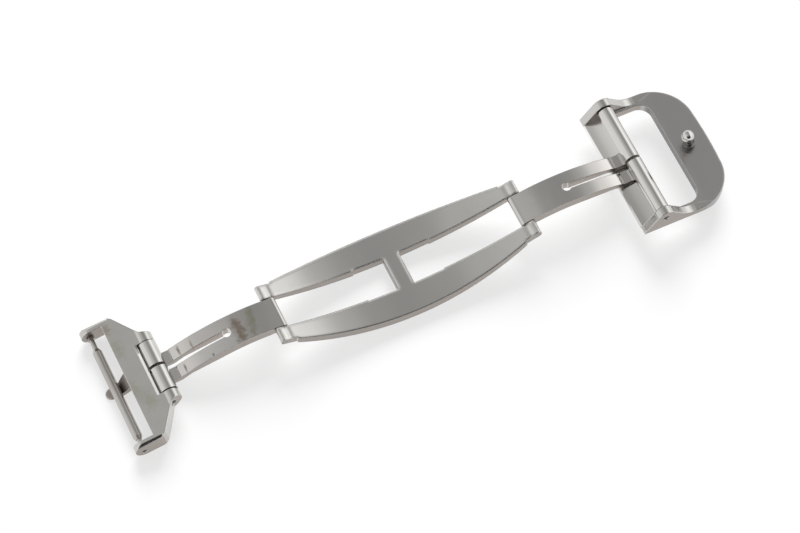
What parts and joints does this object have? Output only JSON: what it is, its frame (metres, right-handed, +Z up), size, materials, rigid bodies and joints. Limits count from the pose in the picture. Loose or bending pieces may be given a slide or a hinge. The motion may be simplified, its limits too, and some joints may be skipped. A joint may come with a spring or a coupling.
{
  "type": "deployant clasp",
  "caption": "Double fold deployant clasp for a watch strap: centre frame, two folding blades, strap link with spring bar, buckle frame with ball post.",
  "frame": {"origin": "under the middle of the open clasp, half way between the knob of the strap link and the rim of the buckle frame, on the plane through its lowest point, the knob", "axes": "+X along the clasp from the strap link to the buckle frame, +Y across the strap, +Z up, out of the wrist side of the open clasp"},
  "size_m": [0.0962, 0.021, 0.0075],
  "materials": {
    "polished_steel": "polished",
    "cast_steel": "polished",
    "pin_steel": "polished",
    "spring_bar_steel": "satin",
    "spring_wire": "satin",
    "dark_steel": "satin"
  },
  "bodies": {
    "centre_frame": {"centre_frame": "polished_steel", "left_frame_pin": "pin_steel", "right_frame_pin": "pin_steel"},
    "left_blade": {"left_blade": "polished_steel", "left_knuckle_near": "polished_steel", "left_knuckle_far": "polished_steel"},
    "right_blade": {"right_blade": "polished_steel", "right_knuckle_near": "polished_steel", "right_knuckle_far": "polished_steel"},
    "strap_link": {"strap_link": "polished_steel", "link_pin": "pin_steel", "link_tongue": "dark_steel"},
    "spring_bar": {"spring_bar_tube": "spring_bar_steel", "spring_bar_spring": "spring_wire"},
    "spring_bar_plunger_near": {"spring_bar_plunger_near": "spring_bar_steel"},
    "spring_bar_plunger_far": {"spring_bar_plunger_far": "spring_bar_steel"},
    "buckle_frame": {"buckle_frame": "cast_steel", "buckle_cross_bar": "cast_steel", "buckle_pin": "pin_steel", "ball_post": "pin_steel"}
  },
  "joints": [
    {"name": "left_blade_hinge", "type": "hinge", "parent": "centre_frame", "child": "left_blade", "pos_m": [-0.02142, 0, 0.00455], "axis": [0, -1, 0], "range_deg": [-12, 156]},
    {"name": "right_blade_hinge", "type": "hinge", "parent": "centre_frame", "child": "right_blade", "pos_m": [0.01708, 0, 0.00455], "axis": [0, 1, 0], "range_deg": [-6, 158]},
    {"name": "strap_link_hinge", "type": "hinge", "parent": "left_blade", "child": "strap_link", "pos_m": [-0.04007, 0, 0.00315], "axis": [0, 1, 0], "range_deg": [-60, 168]},
    {"name": "buckle_hinge", "type": "hinge", "parent": "right_blade", "child": "buckle_frame", "pos_m": [0.03576, 0, 0.0054], "axis": [0, -1, 0], "range_deg": [-2, 162]},
    {"name": "spring_bar_spin", "type": "hinge", "parent": "strap_link", "child": "spring_bar", "pos_m": [-0.04663, -0.00002, 0.00137], "axis": [0, 1, 0], "continuous": true},
    {"name": "near_plunger_slide", "type": "slide", "parent": "spring_bar", "child": "spring_bar_plunger_near", "axis": [0, 1, 0], "range_m": [0, 0.0005], "stiffness_N_per_m": 400, "springref_m": -0.0015},
    {"name": "far_plunger_slide", "type": "slide", "parent": "spring_bar", "child": "spring_bar_plunger_far", "axis": [0, -1, 0], "range_m": [0, 0.0009], "stiffness_N_per_m": 400, "springref_m": -0.0015}
  ]
}
